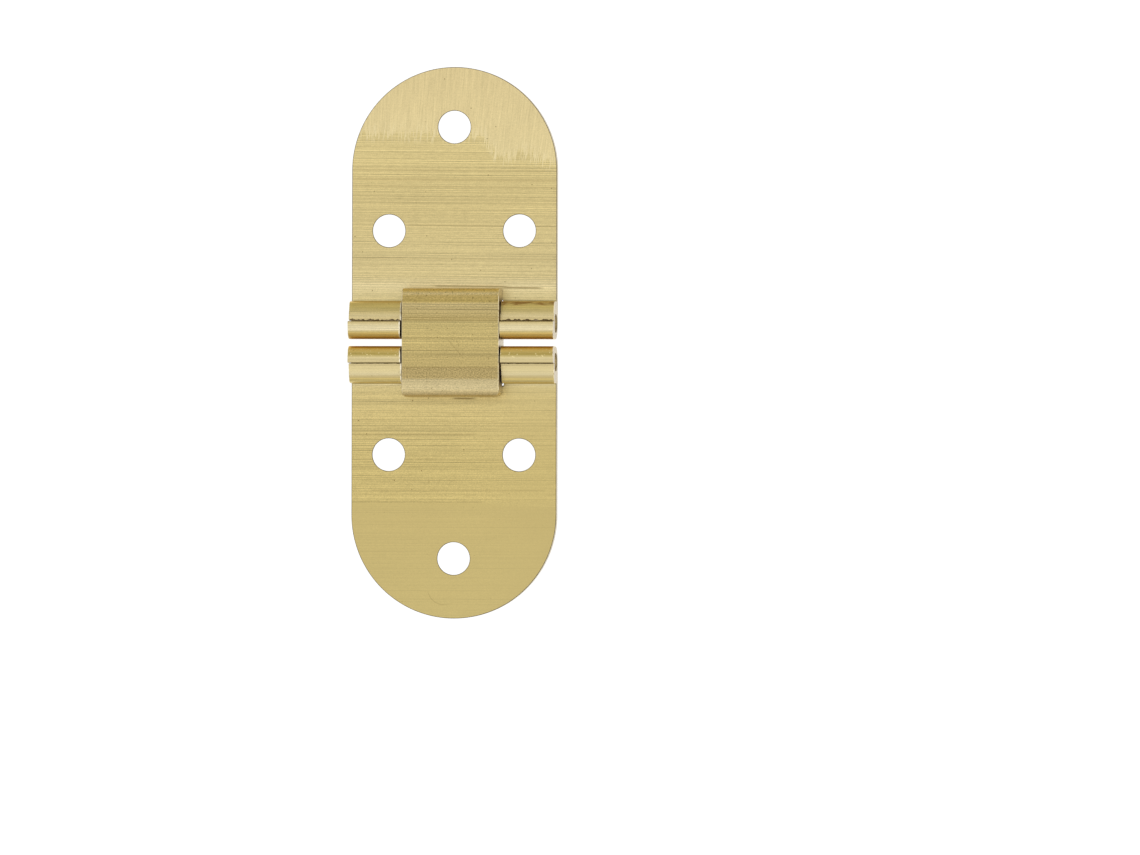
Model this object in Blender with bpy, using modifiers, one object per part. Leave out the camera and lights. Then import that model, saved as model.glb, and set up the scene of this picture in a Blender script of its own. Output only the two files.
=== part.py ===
"""Flap hinge in drawn brass: two round-ended leaves that fold flat onto each other about a double-pin link.

The hinge lies open and flat on its show faces. +Z is the knuckle side, +Y runs along the upper leaf and the
pins run along X. Lengths are in metres. The origin is on the show faces' plane, under the middle of the link.
Each section is drawn from a pin's axis, as the distance out along the leaf and the height above the axis.
"""

import math

import bmesh
import bpy
from mathutils import Matrix

MM = 0.001

# Leaves: a brass section cut to a plan with a semicircular end
HINGE_LENGTH = 80.0 * MM
LEAF_WIDTH = 30.0 * MM
LEAF_THICKNESS = 1.5 * MM
NOTCH_WIDTH = 14.57 * MM

# Screw holes, countersunk at 90 degrees from the show face: a pair between the link and the end, and one on
# the centre line
HOLE_DIAMETER = 4.75 * MM
COUNTERSINK_DIAMETER = 7.4 * MM
HOLE_PAIR_FROM_SIDE = 5.45 * MM
HOLE_PAIR_FROM_LINK = 8.4 * MM
END_HOLE_FROM_END = 8.7 * MM

# Pins
PIN_DIAMETER = 2.6 * MM
PIN_SPACING = 5.6 * MM
PIN_CLEARANCE = 0.06 * MM
PIN_SET_BACK = 0.2 * MM
PIN_CHAMFER = 0.15 * MM

# Knuckles: a thick tongue goes round the pin from below, and its edge meets the leaf's root at a seam
BARREL_WALL = 0.94 * MM
TONGUE_WALL = 1.94 * MM
TONGUE_BROW_RADIUS = 1.25 * MM
TONGUE_EDGE_RADIUS = 0.2 * MM
SEAM_OFFSET = 0.3 * MM
SEAM_GAP = 0.12 * MM
ROOT_WALL = 0.84 * MM
ROOT_DEPTH = 3.2 * MM
ROOT_CROWN_RADIUS = 6.5 * MM
ROOT_BROW_RADIUS = 0.85 * MM
ROOT_FILLET_RADIUS = 0.3 * MM

# Link: fills the notches, and its ends lie over the leaves and stop them at flat
LINK_SIDE_CLEARANCE = 0.2 * MM
LINK_NOTCH_CLEARANCE = 0.4 * MM
LINK_LIFT = 0.2 * MM
LINK_SHOW_SET_BACK = 0.15 * MM
LINK_OVERHANG = 1.5 * MM
LINK_CROWN_LENGTH = 2.55 * MM
LINK_CROWN_RADIUS = 7.0 * MM
LINK_SHOULDER_RADIUS = 1.35 * MM
LINK_TOE_RADIUS = 1.2 * MM
LINK_PLAN_RADIUS = 0.75 * MM
NOTCH_PAST_ROOT = 0.05 * MM

# Fineness of round shapes, in degrees for each facet
ARC_STEP = 7.5
CORNER_STEP = 22.5
HOLE_STEP = 9.0
LEAF_END_STEP = 3.0

# Edges that turn by more than this, in degrees, are left sharp, and the pins' sharper ones are chamfered
SHARP_EDGE = 30.0
CHAMFERED_EDGE = 60.0

# Worked out from the sizes above
PIN_RADIUS = PIN_DIAMETER / 2
BORE_RADIUS = PIN_RADIUS + PIN_CLEARANCE
BARREL_RADIUS = BORE_RADIUS + BARREL_WALL
SHOW_FACE = -BARREL_RADIUS
LEAF_BACK = SHOW_FACE + LEAF_THICKNESS
TONGUE_TOP = BORE_RADIUS + TONGUE_WALL
ROOT_TOP = BORE_RADIUS + ROOT_WALL
AXIS_OFFSET = PIN_SPACING / 2
AXIS_HEIGHT = BARREL_RADIUS
LEAF_REACH = HINGE_LENGTH / 2 - AXIS_OFFSET
NOTCH_REACH = ROOT_DEPTH + ROOT_FILLET_RADIUS + NOTCH_PAST_ROOT
LINK_REACH = NOTCH_REACH + LINK_OVERHANG
LINK_WIDTH = NOTCH_WIDTH - 2 * LINK_SIDE_CLEARANCE
MARGIN = 2.0 * MM
BLANK_DEPTH = 2 * (BARREL_RADIUS + TONGUE_TOP + MARGIN)
WELD = 0.001 * MM

# Turns an outline's two directions to Y and Z, and its depth to X
SECTION_PLANE = Matrix(((0, 0, 1, 0), (1, 0, 0, 0), (0, 1, 0, 0), (0, 0, 0, 1)))
PLAN_PLANE = Matrix.Identity(4)


def clear_scene():
    for obj in list(bpy.data.objects):
        bpy.data.objects.remove(obj, do_unlink=True)


def new_collection(name):
    collection = bpy.data.collections.new(name)
    bpy.context.scene.collection.children.link(collection)
    return collection


def brass(name, colour, roughness):
    material = bpy.data.materials.new(name)
    material.use_nodes = True
    shader = material.node_tree.nodes["Principled BSDF"]
    shader.inputs["Base Color"].default_value = (*colour, 1.0)
    shader.inputs["Metallic"].default_value = 1.0
    shader.inputs["Roughness"].default_value = roughness
    return material


def arc(centre, radius, start, end, step=ARC_STEP):
    """Points of an arc from one angle to another, both ends included."""
    count = max(2, math.ceil(abs(end - start) / step))
    angles = [math.radians(start + (end - start) * k / count) for k in range(count + 1)]
    return [(centre[0] + radius * math.cos(a), centre[1] + radius * math.sin(a)) for a in angles]


def crown_and_brow(start, top, crown_radius, end, brow_radius):
    """A flat top that bends down in a slow crown, then round a tighter brow to a steep end face."""
    crown = (start, top - crown_radius)
    across = end - brow_radius - start
    rise = math.sqrt((crown_radius - brow_radius) ** 2 - across**2)
    meeting = math.degrees(math.atan2(rise, across))
    brow = (end - brow_radius, crown[1] + rise)
    return arc(crown, crown_radius, 90, meeting)[:-1] + arc(brow, brow_radius, meeting, 0)


def leaf_section():
    """The drawn section of a leaf: plate, root and the tongue round the pin, in one piece with a seam."""
    root_side = SEAM_OFFSET + SEAM_GAP
    tongue_angle = math.degrees(math.acos(SEAM_OFFSET / BORE_RADIUS))
    root_angle = math.degrees(math.acos(root_side / BORE_RADIUS))
    brow = (TONGUE_BROW_RADIUS - BARREL_RADIUS, TONGUE_TOP - TONGUE_BROW_RADIUS)
    edge = (SEAM_OFFSET - TONGUE_EDGE_RADIUS, TONGUE_TOP - TONGUE_EDGE_RADIUS)
    fillet = (ROOT_DEPTH + ROOT_FILLET_RADIUS, LEAF_BACK + ROOT_FILLET_RADIUS)
    far = LEAF_REACH + MARGIN
    outline = [(far, SHOW_FACE)]
    outline += arc((0, 0), BARREL_RADIUS, -90, -180)
    outline += arc(brow, TONGUE_BROW_RADIUS, 180, 90)
    outline += arc(edge, TONGUE_EDGE_RADIUS, 90, 0, CORNER_STEP)
    outline += arc((0, 0), BORE_RADIUS, tongue_angle, 360 + root_angle)
    outline += crown_and_brow(root_side, ROOT_TOP, ROOT_CROWN_RADIUS, ROOT_DEPTH, ROOT_BROW_RADIUS)
    outline += arc(fillet, ROOT_FILLET_RADIUS, 180, 270, CORNER_STEP)
    outline += [(far, LEAF_BACK)]
    return outline


def hole_places():
    """Centres of a leaf's screw holes, across and out from the pin's axis."""
    across = LEAF_WIDTH / 2 - HOLE_PAIR_FROM_SIDE
    out = LINK_REACH + HOLE_PAIR_FROM_LINK
    return [(-across, out), (across, out), (0, LEAF_REACH - END_HOLE_FROM_END)]


def leaf_plan():
    """The leaf seen from above: straight sides, a semicircular end and the notch for the link."""
    half = LEAF_WIDTH / 2
    notch = NOTCH_WIDTH / 2
    near = -BARREL_RADIUS - MARGIN
    outline = [(notch, NOTCH_REACH), (notch, near), (half, near)]
    outline += arc((0, LEAF_REACH - half), half, 0, 180, LEAF_END_STEP)
    outline += [(-half, near), (-notch, near), (-notch, NOTCH_REACH)]
    return outline


def link_section():
    """The link's loops: its outline, from the middle between the pins, and its two bores."""
    end = AXIS_OFFSET + LINK_REACH
    side = AXIS_OFFSET + NOTCH_REACH - LINK_NOTCH_CLEARANCE
    under = LEAF_BACK + LINK_LIFT
    bottom = SHOW_FACE + LINK_SHOW_SET_BACK
    crown_start = end - LINK_CROWN_LENGTH
    toe = (side - LINK_TOE_RADIUS, bottom + LINK_TOE_RADIUS)
    half = crown_and_brow(crown_start, TONGUE_TOP, LINK_CROWN_RADIUS, end, LINK_SHOULDER_RADIUS)
    half += [(end, under), (side, under)]
    half += arc(toe, LINK_TOE_RADIUS, 0, -90)
    outline = half + [(-out, height) for out, height in reversed(half)]
    bores = [arc((out, 0), BORE_RADIUS, 0, 360)[:-1] for out in (-AXIS_OFFSET, AXIS_OFFSET)]
    return [outline] + bores


def link_plan():
    """The link seen from above: a rectangle with its two corners on the lower leaf rounded."""
    half = LINK_WIDTH / 2
    reach = AXIS_OFFSET + LINK_REACH
    radius = LINK_PLAN_RADIUS
    corner = (half - radius, radius - reach)
    outline = [(-half, reach + MARGIN), (half, reach + MARGIN)]
    outline += arc(corner, radius, 0, -90)
    outline += arc((-corner[0], corner[1]), radius, -90, -180)
    return outline


def prism(name, loops, depth, plane, shift=(0, 0, 0)):
    """A solid that has the loops' outline and this depth, centred on their plane. An inner loop is a hole."""
    curve = bpy.data.curves.new(name, "CURVE")
    curve.dimensions = "2D"
    curve.fill_mode = "BOTH"
    curve.extrude = depth / 2
    for loop in loops:
        spline = curve.splines.new("POLY")
        spline.points.add(len(loop) - 1)
        spline.use_cyclic_u = True
        for point, (across, up) in zip(spline.points, loop):
            point.co = (across, up, 0, 1)
    drawn = bpy.data.objects.new(name + "_outline", curve)
    bpy.context.scene.collection.objects.link(drawn)
    graph = bpy.context.evaluated_depsgraph_get()
    mesh = bpy.data.meshes.new_from_object(drawn.evaluated_get(graph))
    bpy.data.objects.remove(drawn, do_unlink=True)
    mesh.transform(Matrix.Translation(shift) @ plane)
    solid = bmesh.new()
    solid.from_mesh(mesh)
    bmesh.ops.remove_doubles(solid, verts=solid.verts, dist=WELD)
    bmesh.ops.recalc_face_normals(solid, faces=solid.faces)
    solid.to_mesh(mesh)
    solid.free()
    return bpy.data.objects.new(name, mesh)


def screw_holes(name, side):
    """Cutters for the screw holes: round, and opened towards the show face at 45 degrees to it."""
    radius = HOLE_DIAMETER / 2
    depth = COUNTERSINK_DIAMETER / 2 - radius
    profile = [
        (radius + depth + MARGIN, SHOW_FACE - MARGIN),
        (radius, SHOW_FACE + depth),
        (radius, LEAF_BACK + MARGIN),
    ]
    mesh = bpy.data.meshes.new(name)
    solid = bmesh.new()
    for across, out in hole_places():
        rings = []
        for reach, height in profile:
            ring = arc((across, side * out), reach, 0, 360, HOLE_STEP)[:-1]
            rings.append([solid.verts.new((x, y, height)) for x, y in ring])
        solid.faces.new(reversed(rings[0]))
        solid.faces.new(rings[-1])
        for low, high in zip(rings, rings[1:]):
            for k in range(len(low)):
                solid.faces.new((low[k - 1], low[k], high[k], high[k - 1]))
    solid.to_mesh(mesh)
    solid.free()
    return bpy.data.objects.new(name, mesh)


def add_cut(piece, cutter, operation, cutters):
    """Cuts the piece with a cutter drawn in the piece's own coordinates."""
    cutters.objects.link(cutter)
    cutter.parent = piece
    cutter.hide_render = True
    cutter.display_type = "WIRE"
    cut = piece.modifiers.new(cutter.name, "BOOLEAN")
    cut.operation = operation
    cut.solver = "EXACT"
    cut.object = cutter


def place(piece, material, parent, location, parts):
    """Puts a piece in the hinge, with its origin on a pin's axis."""
    parts.objects.link(piece)
    piece.parent = parent
    piece.location = location
    piece.data.materials.append(material)
    piece.data.shade_smooth()
    piece.data.set_sharp_from_angle(angle=math.radians(SHARP_EDGE))


def make_leaf(name, side, parts, cutters, parent, location):
    """A length of the drawn section, blanked to its plan and countersunk. side is +1 for the upper leaf."""
    section = [(side * out, height) for out, height in leaf_section()]
    plan = [(across, side * out) for across, out in leaf_plan()]
    leaf = prism(name, [section], LEAF_WIDTH + 2 * MARGIN, SECTION_PLANE)
    place(leaf, brass(name + "_brass", (0.62, 0.50, 0.26), 0.35), parent, location, parts)
    add_cut(leaf, prism(name + "_blank", [plan], BLANK_DEPTH, PLAN_PLANE), "INTERSECT", cutters)
    add_cut(leaf, screw_holes(name + "_screw_holes", side), "DIFFERENCE", cutters)
    return leaf


def make_link(parts, cutters, parent):
    """The link, drawn about the lower pin's axis, on which it turns."""
    shift = (0, AXIS_OFFSET, 0)
    link = prism("centre_link", link_section(), LINK_WIDTH, SECTION_PLANE, shift)
    place(link, brass("link_brass", (0.53, 0.43, 0.18), 0.4), parent, (0, 0, 0), parts)
    blank = prism("centre_link_blank", [link_plan()], BLANK_DEPTH, PLAN_PLANE, shift)
    add_cut(link, blank, "INTERSECT", cutters)
    return link


def make_pin(name, parts, parent):
    """A plain pin with chamfered ends, set back a little from the knuckles' end faces."""
    mesh = bpy.data.meshes.new(name)
    solid = bmesh.new()
    bmesh.ops.create_cone(
        solid,
        cap_ends=True,
        segments=round(360 / ARC_STEP),
        radius1=PIN_RADIUS,
        radius2=PIN_RADIUS,
        depth=LEAF_WIDTH - 2 * PIN_SET_BACK,
        matrix=Matrix.Rotation(math.radians(90), 4, "Y"),
    )
    solid.to_mesh(mesh)
    solid.free()
    pin = bpy.data.objects.new(name, mesh)
    place(pin, brass(name + "_brass", (0.55, 0.46, 0.25), 0.45), parent, (0, 0, 0), parts)
    chamfer = pin.modifiers.new("chamfer", "BEVEL")
    chamfer.width = PIN_CHAMFER
    chamfer.segments = 1
    chamfer.limit_method = "ANGLE"
    chamfer.angle_limit = math.radians(CHAMFERED_EDGE)
    return pin


def add_axis(name, parent, location, parts):
    """An empty on a pin's axis, about which everything under it turns."""
    axis = bpy.data.objects.new(name, None)
    axis.empty_display_size = PIN_SPACING
    axis.parent = parent
    axis.location = location
    parts.objects.link(axis)
    return axis


def main():
    clear_scene()
    parts = new_collection("flap_hinge")
    cutters = new_collection("cutters")
    lower_place = (0, -AXIS_OFFSET, AXIS_HEIGHT)
    lower_leaf = make_leaf("lower_leaf", -1, parts, cutters, None, lower_place)
    make_pin("lower_pin", parts, lower_leaf)
    lower_axis = add_axis("lower_axis", lower_leaf, (0, 0, 0), parts)
    link = make_link(parts, cutters, lower_axis)
    upper_axis = add_axis("upper_axis", link, (0, PIN_SPACING, 0), parts)
    make_leaf("upper_leaf", 1, parts, cutters, upper_axis, (0, 0, 0))
    make_pin("upper_pin", parts, upper_axis)


main()
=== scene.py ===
"""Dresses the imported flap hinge: finer brass pieces in place of its solids, with finishes, light and a camera.

The frame is the solids' own, in metres: +Z is the knuckle side, +Y runs along the upper leaf and X along the
pins. Sections are drawn in millimetres, as the distance out along the leaf and the height.
"""

import math

import bpy
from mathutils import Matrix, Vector


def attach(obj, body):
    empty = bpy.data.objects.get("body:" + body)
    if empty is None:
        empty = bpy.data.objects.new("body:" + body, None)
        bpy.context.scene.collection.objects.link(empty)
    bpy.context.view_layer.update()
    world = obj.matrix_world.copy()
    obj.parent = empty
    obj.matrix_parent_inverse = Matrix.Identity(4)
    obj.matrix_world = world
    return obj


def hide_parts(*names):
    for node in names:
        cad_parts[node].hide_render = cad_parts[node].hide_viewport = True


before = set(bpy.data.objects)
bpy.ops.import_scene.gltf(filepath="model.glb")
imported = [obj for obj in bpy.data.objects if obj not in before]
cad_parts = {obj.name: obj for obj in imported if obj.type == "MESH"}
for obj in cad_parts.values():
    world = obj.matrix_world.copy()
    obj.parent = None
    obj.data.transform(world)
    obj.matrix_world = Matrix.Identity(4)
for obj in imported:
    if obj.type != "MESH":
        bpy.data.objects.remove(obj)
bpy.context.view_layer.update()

MM = 0.001

# Sizes of the hinge, in millimetres
LEAF_END = 40.0
PLATE = 1.5
PIN_OUT = 2.8  # from the middle to a pin's axis
PIN_UP = 2.3  # from the show face to a pin's axis
PIN_RADIUS = 1.3
PIN_LENGTH = 29.6
BORE = 1.36  # radius
LINK_HALF = 7.085  # half its width
LINK_END = 7.85
LINK_TOP = 5.6
LINK_UNDER = 0.15
LINK_OVER_LEAF = 1.7
BAR_HALF = 17.0  # half the drawn bar's length, before it is punched
NOTCH_END = 6.2
END_RADIUS = 15.0
HOLES = ((-9.55, 16.25), (9.55, 16.25), (0.0, 31.3))  # across and out
HOLE_RADIUS = 2.375
SINK_RADIUS = 3.7
EDGE_BREAK = 0.08
FLOOR_DOWN = 48.0

# Order of a piece's finishes
FACE, CUT, TURNED, SHOW, EDGE = range(5)


# ---------------------------------------------------------------- hand tools

def object_mode():
    if bpy.context.object and bpy.context.object.mode != "OBJECT":
        bpy.ops.object.mode_set(mode="OBJECT")
    bpy.ops.object.select_all(action="DESELECT")


def edit_all(piece):
    """Opens a piece in edit mode with everything selected."""
    object_mode()
    bpy.context.view_layer.objects.active = piece
    piece.select_set(True)
    bpy.ops.object.mode_set(mode="EDIT")
    bpy.ops.mesh.select_mode(type="VERT")
    bpy.ops.mesh.select_all(action="SELECT")


def pick(piece, wanted, mode="VERT"):
    """In edit mode, selects what wanted(place in mm, normal) is true for. An edge gives its direction."""
    bpy.ops.mesh.select_mode(type=mode)
    bpy.ops.mesh.select_all(action="DESELECT")
    bpy.ops.object.mode_set(mode="OBJECT")
    mesh = piece.data
    if mode == "FACE":
        for face in mesh.polygons:
            face.select = wanted(face.center / MM, face.normal)
    elif mode == "EDGE":
        for edge in mesh.edges:
            first, last = (mesh.vertices[k].co / MM for k in edge.vertices)
            edge.select = wanted((first + last) / 2, (last - first).normalized())
    else:
        for vertex in mesh.vertices:
            vertex.select = wanted(vertex.co / MM, vertex.normal)
    bpy.ops.object.mode_set(mode="EDIT")


def draw_bar(name, start, strokes, half_length, finishes):
    """A bar along X whose section is drawn stroke by stroke: a straight line to a point, or an arc about one."""
    object_mode()
    pen = Vector(start)
    bpy.ops.mesh.primitive_plane_add(size=MM, location=(-half_length * MM, pen.x * MM, pen.y * MM))
    bar = bpy.context.object
    bar.name = name
    bpy.ops.object.transform_apply(location=True, rotation=True, scale=True)
    edit_all(bar)
    bpy.ops.mesh.merge(type="CENTER")
    for stroke in strokes:
        if len(stroke) == 2:
            step = Vector(stroke) - pen
            bpy.ops.mesh.extrude_region_move(TRANSFORM_OT_translate={"value": (0, step.x * MM, step.y * MM)})
            pen = Vector(stroke)
        else:
            out, up, turn, steps = stroke
            centre = Vector((out, up))
            bpy.ops.mesh.spin(  # a positive angle turns +Y towards -Z
                steps=steps,
                angle=math.radians(-turn),
                center=(-half_length * MM, out * MM, up * MM),
                axis=(1, 0, 0),
            )
            arm = pen - centre
            cosine, sine = math.cos(math.radians(turn)), math.sin(math.radians(turn))
            pen = centre + Vector((arm.x * cosine - arm.y * sine, arm.x * sine + arm.y * cosine))
    bpy.ops.mesh.select_all(action="SELECT")
    bpy.ops.mesh.remove_doubles(threshold=0.002 * MM)
    bpy.ops.mesh.edge_face_add()
    bpy.ops.mesh.extrude_region_move(TRANSFORM_OT_translate={"value": (2 * half_length * MM, 0, 0)})
    bpy.ops.mesh.select_all(action="SELECT")
    bpy.ops.mesh.normals_make_consistent(inside=False)
    object_mode()
    for finish in finishes:
        bar.data.materials.append(finish)
    return bar


def cut(piece, cutter, operation="DIFFERENCE"):
    """Cuts a piece with another and takes the cutter away."""
    object_mode()
    bpy.context.view_layer.objects.active = piece
    bpy.ops.object.modifier_add(type="BOOLEAN")
    step = piece.modifiers[-1]
    step.operation = operation
    step.solver = "EXACT"
    step.material_mode = "INDEX"
    step.object = cutter
    bpy.ops.object.modifier_apply(modifier=step.name)
    cutter.select_set(True)
    bpy.ops.object.delete()


def new_cutter(finishes, finish):
    cutter = bpy.context.object
    for each in finishes:
        cutter.data.materials.append(each)
    for face in cutter.data.polygons:
        face.material_index = finish
    return cutter


def block(low, high, finishes, finish=CUT):
    """A block between two corners in millimetres, to cut with."""
    object_mode()
    middle = (Vector(low) + Vector(high)) / 2 * MM
    bpy.ops.mesh.primitive_cube_add(size=1, location=middle, scale=(Vector(high) - Vector(low)) * MM)
    bpy.ops.object.transform_apply(location=True, rotation=True, scale=True)
    return new_cutter(finishes, finish)


def soften(piece, width, finish=0, corner=35, leave=None):
    """Breaks the sharp edges in this finish, except where leave(place in mm) is true, and shades the piece."""
    edit_all(piece)
    bpy.ops.mesh.select_mode(type="EDGE")
    bpy.ops.mesh.select_all(action="DESELECT")
    bpy.ops.mesh.edges_select_sharp(sharpness=math.radians(corner))
    if leave:
        bpy.ops.mesh.select_mode(type="EDGE")
        bpy.ops.object.mode_set(mode="OBJECT")
        mesh = piece.data
        sharp = [edge for edge in mesh.edges if edge.select]
        kept = {edge.index for edge in sharp if not any(leave(mesh.vertices[k].co / MM) for k in edge.vertices)}
        bpy.ops.object.mode_set(mode="EDIT")
        bpy.ops.mesh.select_all(action="DESELECT")
        bpy.ops.object.mode_set(mode="OBJECT")
        for edge in piece.data.edges:
            edge.select = edge.index in kept
        bpy.ops.object.mode_set(mode="EDIT")
    bpy.ops.mesh.bevel(offset=width * MM, segments=3, affect="EDGES", clamp_overlap=False, material=finish)
    object_mode()
    bpy.context.view_layer.objects.active = piece
    piece.select_set(True)
    bpy.ops.object.shade_smooth_by_angle(angle=math.radians(50))
    bpy.ops.object.modifier_add(type="WEIGHTED_NORMAL")
    step = piece.modifiers[-1]
    step.keep_sharp = True
    step.weight = 80
    bpy.ops.object.modifier_apply(modifier=step.name)


# ---------------------------------------------------------------- pieces

def crown(start, top, crown_radius, end, brow_radius, crown_steps, brow_steps):
    """Strokes for a flat top that bends down in a slow crown and then round a tighter brow."""
    middle = top - crown_radius
    across = end - brow_radius - start
    rise = math.sqrt((crown_radius - brow_radius) ** 2 - across**2)
    meeting = math.degrees(math.atan2(rise, across))
    return [
        (start, middle, meeting - 90, crown_steps),
        (end - brow_radius, middle + rise, -meeting, brow_steps),
    ]


def leaf_strokes(tongue_side, root_end):
    """The drawn section: plate, round underside, thick tongue, seam, bore and the raised root."""
    out, up = PIN_OUT, PIN_UP
    root_side = tongue_side + 0.06
    root_top = up + 2.2
    open_at = math.degrees(math.acos(tongue_side / BORE))
    shut_at = math.degrees(math.acos(root_side / BORE))
    far = LEAF_END + 2
    strokes = [
        (out, 0.0),
        (out, up, -90, 24),
        (out - 2.3, up + 2.05),
        (out - 1.05, up + 2.05, -90, 20),
        (out + tongue_side - 0.2, up + 3.3),
        (out + tongue_side - 0.2, up + 3.1, -90, 3),
        (out + tongue_side, up + BORE * math.sin(math.radians(open_at))),
        (out, up, 360 + shut_at - open_at, 72),
        (out + root_side, root_top),
    ]
    strokes += crown(
        start=out + root_side,
        top=root_top,
        crown_radius=6.5,
        end=out + root_end,
        brow_radius=0.85,
        crown_steps=10,
        brow_steps=12,
    )
    strokes += [
        (out + root_end, PLATE + 0.3),
        (out + root_end + 0.3, PLATE + 0.3, 90, 8),
        (far, PLATE),
        (far, 0.0),
    ]
    return (far, 0.0), strokes


def blank(finishes):
    """The leaf's outline from above, as a punch: straight sides and a semicircular end."""
    object_mode()
    middle = LEAF_END - END_RADIUS
    bpy.ops.mesh.primitive_cylinder_add(
        vertices=240, radius=END_RADIUS * MM, depth=20 * MM, location=(0, middle * MM, 3 * MM)
    )
    punch = bpy.context.object
    bpy.ops.object.transform_apply(location=True, rotation=True, scale=True)
    edit_all(punch)
    bpy.ops.mesh.bisect(
        plane_co=(0, middle * MM, 0), plane_no=(0, 1, 0), use_fill=True, clear_inner=True, threshold=0.001 * MM
    )
    pick(punch, lambda place, normal: normal.y < -0.9, "FACE")
    bpy.ops.mesh.extrude_region_move(TRANSFORM_OT_translate={"value": (0, -(middle + 3) * MM, 0)})
    object_mode()
    bpy.context.view_layer.objects.active = punch
    return new_cutter(finishes, CUT)


def screw_hole(across, out, finishes):
    """A cutter for one screw hole: plain, and turned out at 45 degrees towards the show face."""
    object_mode()
    depth = SINK_RADIUS - HOLE_RADIUS
    spare = 1.0
    bpy.ops.mesh.primitive_cone_add(
        vertices=72,
        radius1=(SINK_RADIUS + spare) * MM,
        radius2=HOLE_RADIUS * MM,
        depth=(depth + spare) * MM,
        location=(across * MM, out * MM, (depth - spare) / 2 * MM),
    )
    cutter = bpy.context.object
    bpy.ops.object.transform_apply(location=True, rotation=True, scale=True)
    edit_all(cutter)
    pick(cutter, lambda place, normal: normal.z > 0.99, "FACE")
    bpy.ops.mesh.extrude_region_move(TRANSFORM_OT_translate={"value": (0, 0, 2 * MM)})
    object_mode()
    bpy.context.view_layer.objects.active = cutter
    new_cutter(finishes, CUT)
    for face in cutter.data.polygons:
        if -0.9 < face.normal.z < -0.3 or 0.3 < face.normal.z < 0.9:
            face.material_index = TURNED
    return cutter


def wear_seam(leaf, middle, width, amount, size, finishes):
    """Opens the seam to this width and eats unevenly into the root's edge, by this amount and in lumps of this size."""
    object_mode()
    left, right = middle - width / 2, middle + width / 2
    wear = block((-BAR_HALF - 1, left, PIN_UP + 1.9), (BAR_HALF + 1, right, PIN_UP + 4), finishes)
    edit_all(wear)
    for cuts in (3, 80):
        pick(wear, lambda place, way: abs(way.x) > 0.99, "EDGE")
        bpy.ops.mesh.subdivide(number_cuts=cuts)
    pick(wear, lambda place, normal: place.y > middle)
    bpy.ops.object.vertex_group_add()
    bpy.ops.object.vertex_group_assign()
    object_mode()
    lumps = bpy.data.textures.new(leaf.name + "_wear", "CLOUDS")
    lumps.noise_scale = size * MM
    lumps.noise_depth = 4
    bpy.context.view_layer.objects.active = wear
    bpy.ops.object.modifier_add(type="DISPLACE")
    step = wear.modifiers[-1]
    step.texture = lumps
    step.texture_coords = "LOCAL"
    step.direction = "Y"
    step.vertex_group = wear.vertex_groups[-1].name
    step.strength = amount * MM
    step.mid_level = 0.26
    bpy.ops.object.modifier_apply(modifier=step.name)
    edit_all(wear)
    bpy.ops.mesh.quads_convert_to_tris()
    object_mode()
    cut(leaf, wear)


def make_leaf(name, tongue_side, root_end, notch, wear, turned_round, finishes):
    """A leaf, cut from the drawn bar. The seam's edges are worn unevenly, and then its outline is punched."""
    start, strokes = leaf_strokes(tongue_side, root_end)
    leaf = draw_bar(name, start, strokes, BAR_HALF, finishes)
    seam = PIN_OUT + tongue_side + 0.035
    wear_seam(leaf, seam, *wear, finishes)
    cut(leaf, blank(finishes), "INTERSECT")
    cut(leaf, block((notch[0], -3, -2), (notch[1], NOTCH_END, 9), finishes))
    for across, out in HOLES:
        cut(leaf, screw_hole(across, out, finishes))
    soften(leaf, EDGE_BREAK, EDGE, leave=lambda place: abs(place.y - seam) < 0.8 and place.z > PIN_UP + 1.2)
    for face in leaf.data.polygons:
        if face.normal.z < -0.99 and face.center.z < 0.01 * MM:
            face.material_index = SHOW
    if turned_round:
        edit_all(leaf)
        bpy.ops.transform.rotate(value=math.pi, orient_axis="Z", center_override=(0, 0, 0))
        object_mode()
    return leaf


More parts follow.
